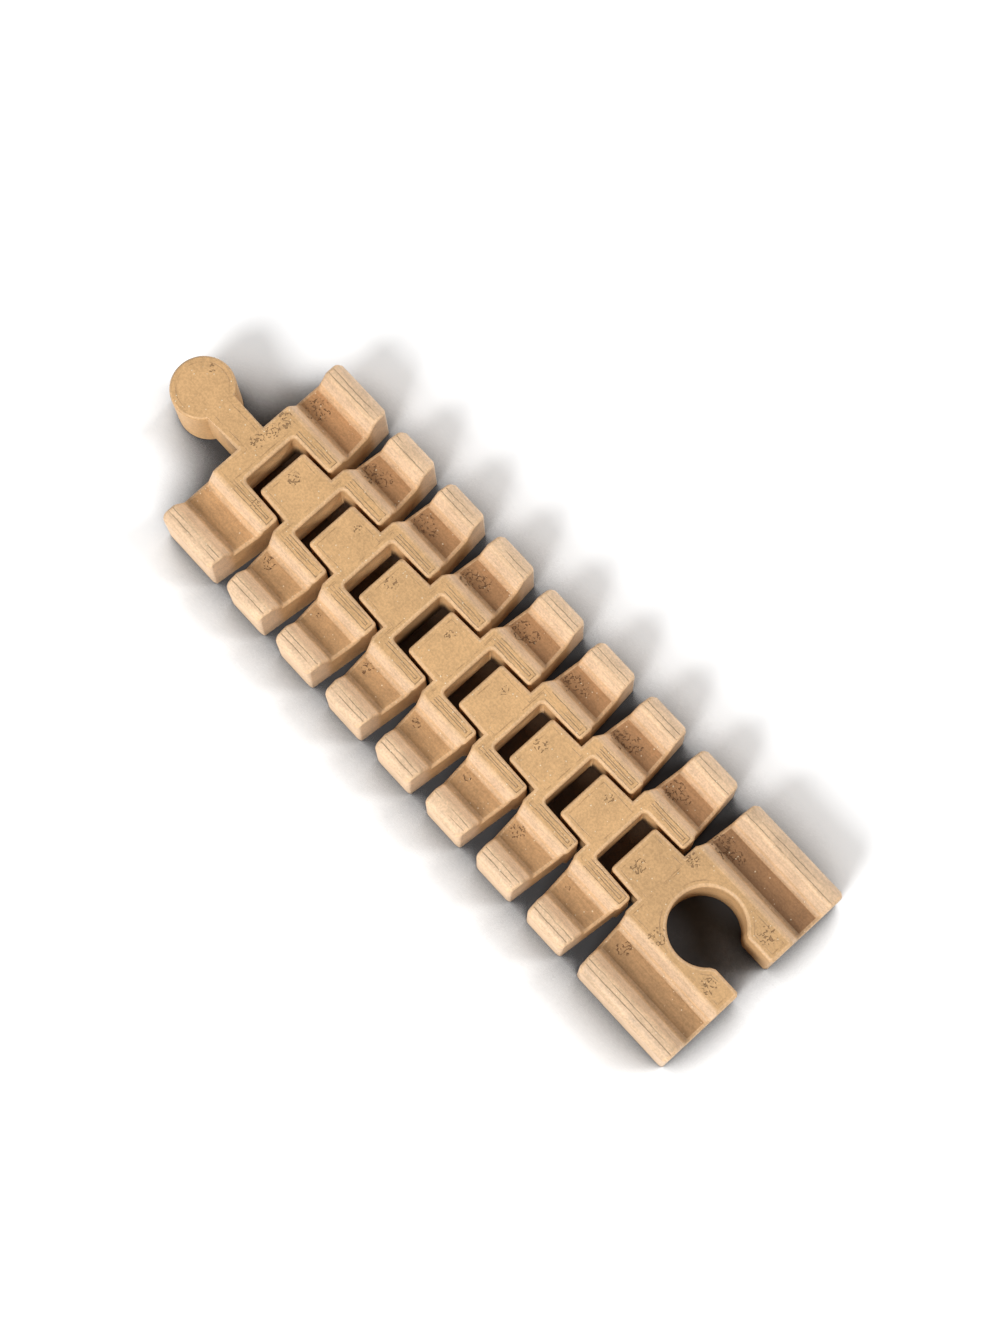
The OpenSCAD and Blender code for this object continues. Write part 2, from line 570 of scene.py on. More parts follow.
@dataclass(frozen=True)
class LinkMap:
    """Says where a point lies on a link.

    A span gives where an area fades in or out. Heights and places are in millimetres, and a slant is the
    upward part of the surface normal.

    Attributes:
        sizes: Sizes of the links.
        kind: Shape of the link.
        narrow_deck: Start of the narrow deck, from a slot's back.
        peg_slot: End of the peg link's slot, from its back.
        socket_slot: Start of the socket link's slot, from the tongue's root.
        mouth_overlap: How far the socket's mouth runs into its hole.
        tongue_overlap: How far a tongue runs into the deck behind it.
        rail_start: Start of a rail, from its inner edge.
        top_height: Start of the tops, from the deck's height.
        top_slant: Slant of the tops.
        groove_height: End of a groove floor, from its height.
        groove_slant: Slant of a groove floor.
        slope_inner: Start of the slopes, from the deck's edge.
        slope_outer: End of the slopes, from the rail.
        slope_height: Start of the slopes, from a groove floor.
        slope_slant: Slant of the slopes.
        slot_side: End of the slots' painted shade, from a slot's side.
        slot_height: End of the slots' painted shade, from the ground.
        slot_wall: Slant past which a slot's surface is no longer a wall.
        slot_floor: End of the slots' floors, from the ground.
        underside: Slant of the undersides, which stay plain and get no painted shade.
    """

    sizes: TrackSizes
    kind: LinkKind
    narrow_deck: Span = (0.3, 0.0)
    peg_slot: Span = (0.5, 1.0)
    socket_slot: Span = (-1.6, -1.1)
    mouth_overlap: float = 1.0
    tongue_overlap: float = 2.0
    rail_start: Span = (-0.4, 0.0)
    top_height: Span = (-0.5, -0.3)
    top_slant: Span = (0.8, 0.95)
    groove_height: Span = (0.25, 1.3)
    groove_slant: Span = (0.4, 0.9)
    slope_inner: Span = (-0.2, 0.2)
    slope_outer: Span = (-0.1, 0.3)
    slope_height: Span = (0.2, 1.0)
    slope_slant: Span = (0.1, 0.3)
    slot_side: Span = (0.3, 0.6)
    slot_height: Span = (3.2, 8.2)
    slot_wall: Span = (0.2, 0.5)
    slot_floor: Span = (4.0, 4.5)
    underside: Span = (-0.7, -0.4)

    def middle_plan(self, at: DeckPoint) -> DeckPlan:
        """Deck of a middle link, from its fork, web and tongue.

        Args:
            at: The point.

        Returns:
            The plan.
        """
        s = self.sizes
        web = at.slab((s.slot_back, s.root), s.deck_half)
        tongue = at.slab((s.slot_back, -s.root), s.tongue_half)
        outline = at.graph.most(at.arms(s, s.root), web, tongue)
        return DeckPlan(outline, at.graph.rise(at.x, self.narrow_deck, s.slot_back), 1.0)

    def peg_plan(self, at: DeckPoint) -> DeckPlan:
        """Deck of the peg link, from its fork, web, neck and peg.

        Args:
            at: The point.

        Returns:
            The plan.
        """
        s = self.sizes
        web = at.slab((s.slot_back, s.peg_face), s.deck_half)
        neck = at.slab((s.slot_back, s.peg_centre), s.neck_half)
        disc = at.graph.less(s.peg_radius, at.reach_from(s.peg_centre))
        outline = at.graph.most(at.arms(s, s.peg_face), web, neck, disc)
        narrow = at.graph.rise(at.x, self.narrow_deck, s.slot_back)
        return DeckPlan(outline, narrow, at.graph.fall(at.x, self.peg_slot, s.slot_back))

    def socket_plan(self, at: DeckPoint) -> DeckPlan:
        """Deck of the socket link, from its long body, keyhole and tongue.

        Args:
            at: The point.

        Returns:
            The plan.
        """
        s = self.sizes
        graph = at.graph
        deck = at.slab((s.socket_face, s.root), s.deck_half)
        hole = graph.less(at.reach_from(s.socket_centre), s.socket_radius)
        mouth_end = s.socket_centre - s.socket_radius + self.mouth_overlap
        mouth = graph.most(graph.less(at.side, s.mouth_half), graph.less(at.x, mouth_end))
        tongue = at.slab((s.root - self.tongue_overlap, -s.root), s.tongue_half)
        outline = graph.most(graph.least(deck, hole, mouth), tongue)
        return DeckPlan(outline, 0.0, graph.rise(at.x, self.socket_slot, s.root))

    def build(self) -> bpy.types.NodeTree:
        """Writes the map.

        Returns:
            A group that gives the distance to the nearest outline and masks of the link's areas.
        """
        s = self.sizes
        graph, given, made = new_group(
            f"{self.kind.value}_link_map",
            {"Place": "Vector", "Normal": "Vector"},
            tuple(part.value for part in SurfacePart),
        )
        x, y, z = graph.split(given["Place"])
        up = graph.split(given["Normal"])[2]
        side = graph.math("ABSOLUTE", y)
        plans = {
            LinkKind.PEG: self.peg_plan,
            LinkKind.MIDDLE: self.middle_plan,
            LinkKind.SOCKET: self.socket_plan,
        }
        plan = plans[self.kind](DeckPoint(graph, x, y, side))
        rail = graph.least(graph.less(side, s.rail_inner), graph.less(s.rail_outer, side))
        on_rail = graph.rise(side, self.rail_start, s.rail_inner)
        off_rail = graph.product(plan.outline, graph.less(1.0, on_rail))
        wall = graph.most(graph.fall(up, self.slot_wall), graph.fall(z, self.slot_floor))
        areas = {
            SurfacePart.OUTLINE: graph.math("ADD", off_rail, graph.product(rail, on_rail)),
            SurfacePart.NARROW: graph.most(on_rail, plan.narrow),
            SurfacePart.GROOVE: graph.product(
                graph.rise(side, (s.deck_half, s.groove_inner)),
                graph.fall(side, (s.groove_outer, s.rail_inner)),
                graph.fall(z, self.groove_height, s.groove_floor),
                graph.rise(up, self.groove_slant),
            ),
            SurfacePart.SLOPE: graph.product(
                graph.rise(side, self.slope_inner, s.deck_half),
                graph.fall(side, self.slope_outer, s.rail_inner),
                graph.rise(z, self.slope_height, s.groove_floor),
                graph.rise(up, self.slope_slant),
            ),
            SurfacePart.RAIL: graph.rise(side, (s.groove_outer, s.rail_inner)),
            # Slots' walls and floors, darker towards the bottom: painted shade.
            SurfacePart.SLOT_SHADE: graph.product(
                graph.fall(side, self.slot_side, s.slot_half),
                plan.slot,
                graph.fall(z, self.slot_height),
                wall,
                graph.rise(up, self.underside),
            ),
            SurfacePart.TOP: graph.product(
                graph.rise(z, self.top_height, s.height), graph.rise(up, self.top_slant)
            ),
        }
        for part, value in areas.items():
            graph.feed(made[part.value], value)
        return graph.tree


@dataclass(frozen=True)
class WallLines:
    """Fine broken lines that run beside the outlines of the top, where the print walls meet.

    Attributes:
        spacing: Distance between lines, in millimetres.
        width: Share of the spacing that a line takes.
        drift: How far a line wanders.
        wander: Pattern of that wandering.
        stretch: Stretch of the breaks along each axis.
        break_noise: Pattern of the breaks.
        breaks: Span over which a line fades in after a break.
        inset: Span from the outline over which the lines fade in.
        single_depth: Depth of the single line on the wide deck.
        single_width: Span over which that line fades out.
        patch_noise: Pattern of its patches.
        patches: Span over which a patch fades in.
    """

    spacing: float = 0.62
    width: float = 0.22
    drift: float = 0.34
    wander: Noise = Noise(0.45, 3.0)
    stretch: Rgb = (0.10, 2.2, 1.0)
    break_noise: Noise = Noise(1.0, 2.0)
    breaks: Span = (0.38, 0.5)
    inset: Span = (0.3, 0.5)
    single_depth: float = 1.15
    single_width: Span = (0.02, 0.14)
    patch_noise: Noise = Noise(0.35, 2.0)
    patches: Span = (0.4, 0.62)

    def build(self) -> bpy.types.NodeTree:
        """Writes the group.

        Returns:
            A group that gives masks of the lines and of the single line.
        """
        graph, given, made = new_group(
            "print_wall_lines", {"Place": "Vector", "Outline": "Float"}, ("Lines", "Single")
        )
        place = given["Place"]
        outline = given["Outline"]
        drift = graph.add_share(-0.5 * self.drift, graph.noise(place, self.wander), self.drift)
        depth = graph.math("ADD", outline, drift)
        wave = graph.math("PINGPONG", graph.math("DIVIDE", depth, self.spacing), 0.5)
        mask = graph.fall(graph.math("DIVIDE", wave, self.width), (0.0, 1.0))
        broken = graph.rise(graph.noise(graph.stretched(place, self.stretch), self.break_noise), self.breaks)
        graph.feed(made["Lines"], graph.product(mask, broken, graph.rise(outline, self.inset)))
        away = graph.math("ABSOLUTE", graph.less(depth, self.single_depth))
        patchy = graph.rise(graph.noise(place, self.patch_noise), self.patches)
        graph.feed(made["Single"], graph.product(graph.fall(away, self.single_width), patchy))
        return graph.tree


@dataclass(frozen=True)
class PrintPits:
    """Small irregular pits and short worm-like scars.

    Attributes:
        scar_noise: Pattern whose middle value the scars follow.
        scar_width: Span over which a scar fades out.
        break_noise: Pattern of the breaks in the scars.
        breaks: Span over which a scar fades in after a break.
        dots: Round pits per millimetre.
        dot_size: Span over which a dot fades out, in cells.
        dot_share: Span of the random number that keeps a dot.
        patch_edge: Span over which a patch fades in.
    """

    scar_noise: Noise = Noise(1.15, 1.0)
    scar_width: Span = (0.02, 0.05)
    break_noise: Noise = Noise(1.7, 1.0)
    breaks: Span = (0.46, 0.52)
    dots: float = 1.7
    dot_size: Span = (0.17, 0.27)
    dot_share: Span = (0.5, 0.52)
    patch_edge: Span = (0.15, 0.4)

    def build(self) -> bpy.types.NodeTree:
        """Writes the group.

        Returns:
            A group that gives a mask of the pits.
        """
        graph, given, made = new_group("print_pits", {"Place": "Vector", "Patch": "Float"}, ("Pits",))
        place = given["Place"]
        scar = graph.math("ABSOLUTE", graph.less(graph.noise(place, self.scar_noise), 0.5))
        breaks = graph.rise(graph.noise(place, self.break_noise), self.breaks)
        worms = graph.product(graph.fall(scar, self.scar_width), breaks)
        near, chance = graph.cells(place, self.dots)
        dots = graph.product(graph.fall(near, self.dot_size), graph.rise(chance, self.dot_share))
        patch = graph.rise(given["Patch"], self.patch_edge)
        graph.feed(made["Pits"], graph.product(graph.most(worms, dots), patch))
        return graph.tree


@dataclass(frozen=True)
class WoodGrain:
    """Fine speckle, broad mottle, lengthwise streaks and pale flecks.

    Attributes:
        speckle: Pattern of the speckle.
        mottle: Pattern of the mottle.
        stretch: Stretch of the streaks along each axis.
        streak: Pattern of the streaks.
        flecks: Flecks per millimetre.
        ragged_noise: Pattern of a fleck's ragged edge.
        ragged: How ragged a fleck is.
        fleck_size: Span over which a fleck fades out, in cells.
        fleck_share: Span of the random number that keeps a fleck.
    """

    speckle: Noise = Noise(2.6, 4.0, 0.65)
    mottle: Noise = Noise(0.28, 3.0, 0.55)
    stretch: Rgb = (0.25, 2.2, 2.2)
    streak: Noise = Noise(1.0, 3.0, 0.55)
    flecks: float = 1.35
    ragged_noise: Noise = Noise(2.4, 1.0)
    ragged: float = 0.3
    fleck_size: Span = (0.10, 0.19)
    fleck_share: Span = (0.72, 0.74)

    def build(self) -> bpy.types.NodeTree:
        """Writes the group.

        Returns:
            A group that gives each pattern as a number or mask.
        """
        graph, given, made = new_group(
            "wood_filler_grain", {"Place": "Vector"}, ("Speckle", "Mottle", "Streak", "Flecks")
        )
        place = given["Place"]
        graph.feed(made["Speckle"], graph.noise(place, self.speckle))
        graph.feed(made["Mottle"], graph.noise(place, self.mottle))
        graph.feed(made["Streak"], graph.noise(graph.stretched(place, self.stretch), self.streak))
        near, chance = graph.cells(place, self.flecks)
        edge = graph.add_share(-0.5 * self.ragged, graph.noise(place, self.ragged_noise), self.ragged)
        fleck = graph.fall(graph.math("ADD", near, edge), self.fleck_size)
        graph.feed(made["Flecks"], graph.product(fleck, graph.rise(chance, self.fleck_share)))
        return graph.tree


@dataclass(frozen=True)
class PatternLibrary:
    """Shared node groups, each built once and placed in every link's material.

    Attributes:
        maps: The link map of each kind of link.
        lines: Fine lines that the print walls leave.
        pits: Small irregular pits.
        grain: Speckle, mottle, streaks and pale flecks.
    """

    maps: dict[LinkKind, bpy.types.NodeTree]
    lines: bpy.types.NodeTree
    pits: bpy.types.NodeTree
    grain: bpy.types.NodeTree

    @classmethod
    def build(cls, sizes: TrackSizes) -> PatternLibrary:
        """Builds every group.

        Args:
            sizes: Sizes that the patterns follow.

        Returns:
            The library.
        """
        return cls(
            maps={kind: LinkMap(sizes, kind).build() for kind in LinkKind},
            lines=WallLines().build(),
            pits=PrintPits().build(),
            grain=WoodGrain().build(),
        )


@dataclass(frozen=True)
class Marks:
    """What the patterns say at a point of a link.

    Attributes:
        areas: Mask of each area of the link.
        across: Place across the track, in millimetres.
        rim_highlight: Mask of the rounded edges, where a highlight is painted.
        lines: Mask of the print lines.
        pits: Mask of the pits.
        flecks: Mask of the pale flecks.
        speckle: Fine noise round 0.5.
        mottle: Broad noise round 0.5.
        streak: Lengthwise noise round 0.5.
    """

    areas: dict[SurfacePart, Socket]
    across: Socket
    rim_highlight: Socket
    lines: Socket
    pits: Socket
    flecks: Socket
    speckle: Socket
    mottle: Socket
    streak: Socket


@dataclass(frozen=True)
class ColourStrengths:
    """How strongly each pattern changes the colour.

    Attributes:
        faint_line: Strength of the single line beside that of the others.
        groove_tone_and_shade_blend: Span across the track over which a groove's darkening changes.
        left_groove_tone_and_shade: Darkening of the left groove beside that of the right one.
        rail: Paleness of the rails' slopes beside that of the grooves', whose paleness is a painted sheen.
        rim_highlight: Share of the highlight colour painted on the rounded edges.
        speckle_span: Noise values of the darkest and lightest speckle.
        broad_span: Noise values of the darkest and lightest mottle and streak.
        speckle: Change of brightness by the speckle.
        mottle: Change of brightness by the mottle.
        streak: Change of brightness by the streaks.
        long_streak: What the grooves and rails add to that.
        line: Share of the pit colour in a line.
        fleck: Share of the fleck colour.
        pit: Share of the pit colour.
        groove_pit: What the grooves add to that.
        slot_shade: Share of the dark colour painted into the slots as shade.
    """

    faint_line: float = 0.55
    groove_tone_and_shade_blend: Span = (-2.0, 2.0)
    left_groove_tone_and_shade: float = 0.55
    rail: float = 0.85
    rim_highlight: float = 0.5
    speckle_span: Span = (0.36, 0.64)
    broad_span: Span = (0.35, 0.65)
    speckle: float = 0.11
    mottle: float = 0.055
    streak: float = 0.02
    long_streak: float = 0.055
    line: float = 0.6
    fleck: float = 0.75
    pit: float = 0.66
    groove_pit: float = 0.2
    slot_shade: float = 0.9


@dataclass(frozen=True)
class ReliefStrengths:
    """How strongly each pattern changes the relief and the gloss.

    Attributes:
        speckle: Height of the speckle, as a share of the relief's depth like the rest.
        mottle: Height of the mottle.
        streak: Height of the streaks.
        line: Height of a line.
        pit: Height of a pit.
        fleck: Height of a fleck.
        strength: Strength of the whole relief.
        depth: Depth that a height of 1 stands for, in metres.
        rough: Roughness of the plain surface.
        rough_speckle: What the speckle adds to that.
        rough_pit: What a pit adds to that.
        specular: Strength of the mirror part.
    """

    speckle: float = 0.16
    mottle: float = 1.1
    streak: float = 0.5
    line: float = -0.8
    pit: float = -1.6
    fleck: float = 0.5
    strength: float = 0.9
    depth: float = 0.12 * MM
    rough: float = 0.40
    rough_speckle: float = 0.22
    rough_pit: float = 0.2
    specular: float = 0.4


@dataclass(frozen=True)
class LinkMaterial:
    """Wood-filled plastic for one link, written from the shared patterns.

    Attributes:
        name: Name of the material.
        kind: Shape of the link.
        finish: How this link's plastic looks.
        swivel: Place of the link's own swivel along the track, in millimetres.
        library: The shared patterns.
        colours: Strengths of the patterns in the colour.
        reliefs: Strengths of the patterns in the relief.
        seed_way: Way in which the seed shifts the grain.
        patch_core: Share of a patch's radius where its pits are at full strength.
    """

    name: str
    kind: LinkKind
    finish: LinkFinish
    swivel: float
    library: PatternLibrary
    colours: ColourStrengths = ColourStrengths()
    reliefs: ReliefStrengths = ReliefStrengths()
    seed_way: Rgb = (1.0, 0.7, 0.3)
    patch_core: float = 0.35

    @staticmethod
    def placed(graph: Graph, tree: bpy.types.NodeTree, **inputs: Value) -> bpy.types.bpy_prop_collection:
        """Puts a shared group in the material.

        Args:
            graph: Graph to write in.
            tree: The group.
            **inputs: Values for the group's inputs.

        Returns:
            The outputs of the group's node.
        """
        made = graph.node("ShaderNodeGroup")
        made.node_tree = tree
        for label, value in inputs.items():
            graph.feed(made.inputs[label], value)
        return made.outputs

    def patch_mask(self, graph: Graph, x: Socket, y: Socket) -> Value:
        """How strongly a point lies in one of the link's patches of pits.

        Args:
            graph: Graph to write in.
            x: Place along the link.
            y: Place across the link.

        Returns:
            A number from 0 outside to 1 in the middle of a patch.
        """
        result: Value = 0.0
        for spot in self.finish.spots:
            reach = graph.reach(graph.less(x, spot.along), graph.less(y, spot.across))
            result = graph.most(result, graph.fall(reach, (self.patch_core * spot.radius, spot.radius)))
        return result

    @staticmethod
    def mapped(graph: Graph, place: Socket, shift: Rgb, factor: float = 1.0) -> Socket:
        """Scales coordinates and then shifts them.

        Args:
            graph: Graph to write in.
            place: The coordinates.
            shift: Shift along each axis.
            factor: Scale of all three axes.

        Returns:
            The new coordinates.
        """
        made = graph.node("ShaderNodeMapping")
        made.inputs["Scale"].default_value = (factor, factor, factor)
        made.inputs["Location"].default_value = shift
        graph.feed(made.inputs["Vector"], place)
        return made.outputs[0]

    def marks(self, graph: Graph) -> Marks:
        """Places the shared patterns on the link.

        Args:
            graph: Graph to write in.

        Returns:
            What the patterns say.
        """
        seed = self.finish.seed
        coordinates = graph.node("ShaderNodeTexCoord").outputs
        place = self.mapped(graph, coordinates["Object"], (-self.swivel, 0.0, 0.0), 1 / MM)
        own = self.mapped(graph, place, tuple(seed * way for way in self.seed_way))
        x, y, _ = graph.split(place)
        rim_highlight = graph.node("ShaderNodeAttribute")
        rim_highlight.attribute_name = RIM_HIGHLIGHT_LAYER
        outputs = self.placed(
            graph, self.library.maps[self.kind], Place=place, Normal=coordinates["Normal"]
        )
        areas = {part: outputs[part.value] for part in SurfacePart}
        top = areas[SurfacePart.TOP]
        narrow = areas[SurfacePart.NARROW]
        flat = graph.most(top, areas[SurfacePart.GROOVE])
        lines = self.placed(graph, self.library.lines, Place=own, Outline=areas[SurfacePart.OUTLINE])
        pits = self.placed(graph, self.library.pits, Place=own, Patch=self.patch_mask(graph, x, y))
        grain = self.placed(graph, self.library.grain, Place=own)
        strong = graph.product(lines["Lines"], narrow, top)
        faint = graph.product(lines["Single"], top, graph.less(1.0, narrow), self.colours.faint_line)
        return Marks(
            areas=areas,
            across=y,
            rim_highlight=rim_highlight.outputs["Fac"],
            lines=graph.most(strong, faint),
            pits=graph.product(pits["Pits"], flat),
            flecks=graph.product(grain["Flecks"], flat),
            speckle=grain["Speckle"],
            mottle=grain["Mottle"],
            streak=grain["Streak"],
        )

    def shade(self, graph: Graph, marks: Marks) -> Socket:
        """Brightness of the grain.

        Args:
            graph: Graph to write in.
            marks: What the patterns say.

        Returns:
            A factor round 1.
        """
        c = self.colours
        areas = marks.areas
        speckle = graph.ramp(marks.speckle, *c.speckle_span, -1.0, 1.0)
        mottle = graph.ramp(marks.mottle, *c.broad_span, -1.0, 1.0)
        streak = graph.ramp(marks.streak, *c.broad_span, -1.0, 1.0)
        long_areas = graph.most(
            areas[SurfacePart.GROOVE], areas[SurfacePart.RAIL], areas[SurfacePart.SLOPE]
        )
        streak_share = graph.add_share(c.streak, long_areas, c.long_streak)
        total = graph.add_share(1.0, speckle, c.speckle)
        total = graph.add_share(total, mottle, c.mottle)
        return graph.add_share(total, streak, streak_share)

    def colour(self, graph: Graph, marks: Marks) -> Socket:
        """Colour of the plastic.

        Args:
            graph: Graph to write in.
            marks: What the patterns say.

        Returns:
            The colour.
        """
        c = self.colours
        finish = self.finish
        areas = marks.areas
        groove = areas[SurfacePart.GROOVE]
        # Darker groove floors, partly their own tone and partly painted shade.
        groove_toned_and_shaded = graph.product(groove, graph.ramp(marks.across, *c.groove_tone_and_shade_blend, 1.0, c.left_groove_tone_and_shade))
        # Paler on the rails, their own tone, and on the groove slopes, a painted sheen.
        pale = graph.most(areas[SurfacePart.SLOPE], graph.product(areas[SurfacePart.RAIL], c.rail))
        tone = graph.mix(groove_toned_and_shaded, finish.base, finish.groove)
        tone = graph.mix(pale, tone, finish.rail)
        # Paler colour painted on the rounded edges as a highlight.
        tone = graph.mix(graph.product(marks.rim_highlight, c.rim_highlight), tone, finish.rim_highlight)
        tone = graph.scaled(tone, self.shade(graph, marks))
        tone = graph.mix(graph.product(marks.lines, c.line), tone, finish.pit)
        tone = graph.mix(graph.product(marks.flecks, c.fleck), tone, finish.pale)
        pit_share = graph.add_share(c.pit, groove, c.groove_pit)
        tone = graph.mix(graph.product(marks.pits, pit_share), tone, finish.pit)
        # Shade painted into the slots.
        return graph.mix(graph.product(areas[SurfacePart.SLOT_SHADE], c.slot_shade), tone, finish.slot_shade)

    def relief(self, graph: Graph, marks: Marks) -> Socket:
        """Fine relief of the surface.

        Args:
            graph: Graph to write in.
            marks: What the patterns say.

        Returns:
            The bumped normal.
        """
        r = self.reliefs
        height = graph.product(marks.speckle, r.speckle)
        for mark, share in (
            (marks.mottle, r.mottle),
            (marks.streak, r.streak),
            (marks.lines, r.line),
            (marks.pits, r.pit),
            (marks.flecks, r.fleck),
        ):
            height = graph.add_share(height, mark, share)
        bump = graph.node("ShaderNodeBump")
        bump.inputs["Strength"].default_value = r.strength
        bump.inputs["Distance"].default_value = r.depth
        graph.feed(bump.inputs["Height"], height)
        return bump.outputs[0]

    def build(self) -> bpy.types.Material:
        """Writes the material.

        Returns:
            The material, ready for the link's slot.
        """
        material = bpy.data.materials.new(self.name)
        material.use_nodes = True
        material.node_tree.nodes.clear()
        graph = Graph(material.node_tree)
        r = self.reliefs
        marks = self.marks(graph)
        rough = graph.add_share(r.rough, marks.speckle, r.rough_speckle)
        rough = graph.add_share(rough, marks.pits, r.rough_pit)
        shader = graph.node("ShaderNodeBsdfPrincipled")
        shader.inputs["Specular IOR Level"].default_value = r.specular
        graph.feed(shader.inputs["Base Color"], self.colour(graph, marks))
        graph.feed(shader.inputs["Roughness"], rough)
        graph.feed(shader.inputs["Normal"], self.relief(graph, marks))
        output = graph.node("ShaderNodeOutputMaterial")
        graph.feed(output.inputs["Surface"], shader.outputs[0])
        return material


@dataclass(frozen=True)
class LinkShape:
    """The visible form of one link: its CAD node with softly rounded edges.

    Attributes:
        node: Name of the CAD node.
        swivel: Place of the link's own swivel along the track, in millimetres.
        sizes: Sizes of the links.
        edge_width: How far the rounding reaches from an edge.
        corner_reach: How far it reaches from the upright outer corners of the wings.
        edge_steps: Faces across the rounding.
        flat_fold: Greatest angle between two faces that are made one.
        least_fold: Least angle between the faces at an edge that is rounded.
        least_sharp: Least angle at which an edge is still shaded as sharp.
        least_gap: Points nearer than this are merged.
    """

    node: str
    swivel: float
    sizes: TrackSizes
    edge_width: float = 0.6
    corner_reach: float = 0.9
    edge_steps: int = 4
    flat_fold: float = 0.5
    least_fold: float = 48.0
    least_sharp: float = 50.0
    least_gap: float = 0.002

    def soft_edges(self, mesh: bmesh.types.BMesh) -> list[bmesh.types.BMEdge]:
        """Edges that show and are soft on a print.

        The bevels along the rails are left to smooth shading, and so is the inner edge where the peg's
        neck meets its link.

        Args:
            mesh: The link, in millimetres.

        Returns:
            The outlines of the tops and grooves.
        """
        lowest = self.sizes.groove_floor - SNUG
        neck_start = self.swivel + self.sizes.peg_face + SNUG
        chosen = []
        for edge in mesh.edges:
            ends = [vertex.co for vertex in edge.verts]
            fold = math.degrees(edge.calc_face_angle(0.0))
            beyond = min(end.x for end in ends) > neck_start
            joint = beyond and not edge.is_convex and self.node == PEG_NAME
            if min(end.z for end in ends) > lowest and fold > self.least_fold and not joint:
                chosen.append(edge)
        return chosen

    def corner_edges(self, mesh: bmesh.types.BMesh) -> list[bmesh.types.BMEdge]:
        """Upright outer corners of the wings.

        Args:
            mesh: The link, in millimetres.

        Returns:
            The edges where the track's sides meet the ends of the wings.
        """
        sizes = self.sizes
        return [
            edge
            for edge in mesh.edges
            if all(abs(vertex.co.y) > sizes.half_width - SNUG for vertex in edge.verts)
            and abs(edge.verts[0].co.z - edge.verts[1].co.z) > sizes.groove_floor
        ]

    def round_off(self, mesh: bmesh.types.BMesh, edges: list[bmesh.types.BMEdge], reach: float) -> set:
        """Rounds edges.

        Args:
            mesh: The link, in millimetres.
            edges: The edges to round.
            reach: How far the rounding reaches from an edge.

        Returns:
            The new faces.
        """
        made = bmesh.ops.bevel(
            mesh,
            geom=edges,
            offset=reach,
            offset_type="OFFSET",
            segments=self.edge_steps,
            profile=0.5,
            affect="EDGES",
            clamp_overlap=False,
            material=-1,
        )
        return set(made["faces"])

    def merge(self, mesh: bmesh.types.BMesh) -> None:
        """Merges points that lie in one place.

        Args:
            mesh: The link, in millimetres.
        """
        bmesh.ops.remove_doubles(mesh, verts=mesh.verts, dist=self.least_gap)

    def build(self) -> bpy.types.Object:
        """Makes the rounded link.

        Returns:
            An object at the origin whose mesh lies in the link's place.
        """
        mesh = bmesh.new()
        mesh.from_mesh(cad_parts[self.node].data)
        bmesh.ops.scale(mesh, vec=(1 / MM, 1 / MM, 1 / MM), verts=mesh.verts)
        self.merge(mesh)
        bmesh.ops.dissolve_limit(
            mesh,
            angle_limit=math.radians(self.flat_fold),
            verts=mesh.verts,
            edges=mesh.edges,
            use_dissolve_boundaries=False,
        )
        # Marks the rounded edges, which the material paints with a highlight.
        rim_highlight = mesh.faces.layers.float.new(RIM_HIGHLIGHT_LAYER)
        self.round_off(mesh, self.corner_edges(mesh), self.corner_reach)
        edges = self.soft_edges(mesh)
        soft = self.round_off(mesh, edges, self.edge_width)
        for face in mesh.faces:
            face.smooth = True
            face[rim_highlight] = 1.0 if face in soft else 0.0
        self.merge(mesh)
        bmesh.ops.dissolve_degenerate(mesh, edges=mesh.edges, dist=self.least_gap)
        bmesh.ops.scale(mesh, vec=(MM, MM, MM), verts=mesh.verts)
        data = bpy.data.meshes.new(f"{self.node}_rounded")
        mesh.to_mesh(data)
        mesh.free()
        data.set_sharp_from_angle(angle=math.radians(self.least_sharp))
        piece = bpy.data.objects.new(f"{self.node}_print", data)
        bpy.context.scene.collection.objects.link(piece)
        weighted = piece.modifiers.new("flat_faces_stay_flat", "WEIGHTED_NORMAL")
        weighted.keep_sharp = True
        LOG.info("%s: %d edges rounded, %d faces", self.node, len(edges), len(data.polygons))
        return piece


def shaded(colour: Rgb, factor: float) -> Colour:
    """A colour made lighter or darker by a factor."""
    return (colour[0] * factor, colour[1] * factor, colour[2] * factor, 1.0)


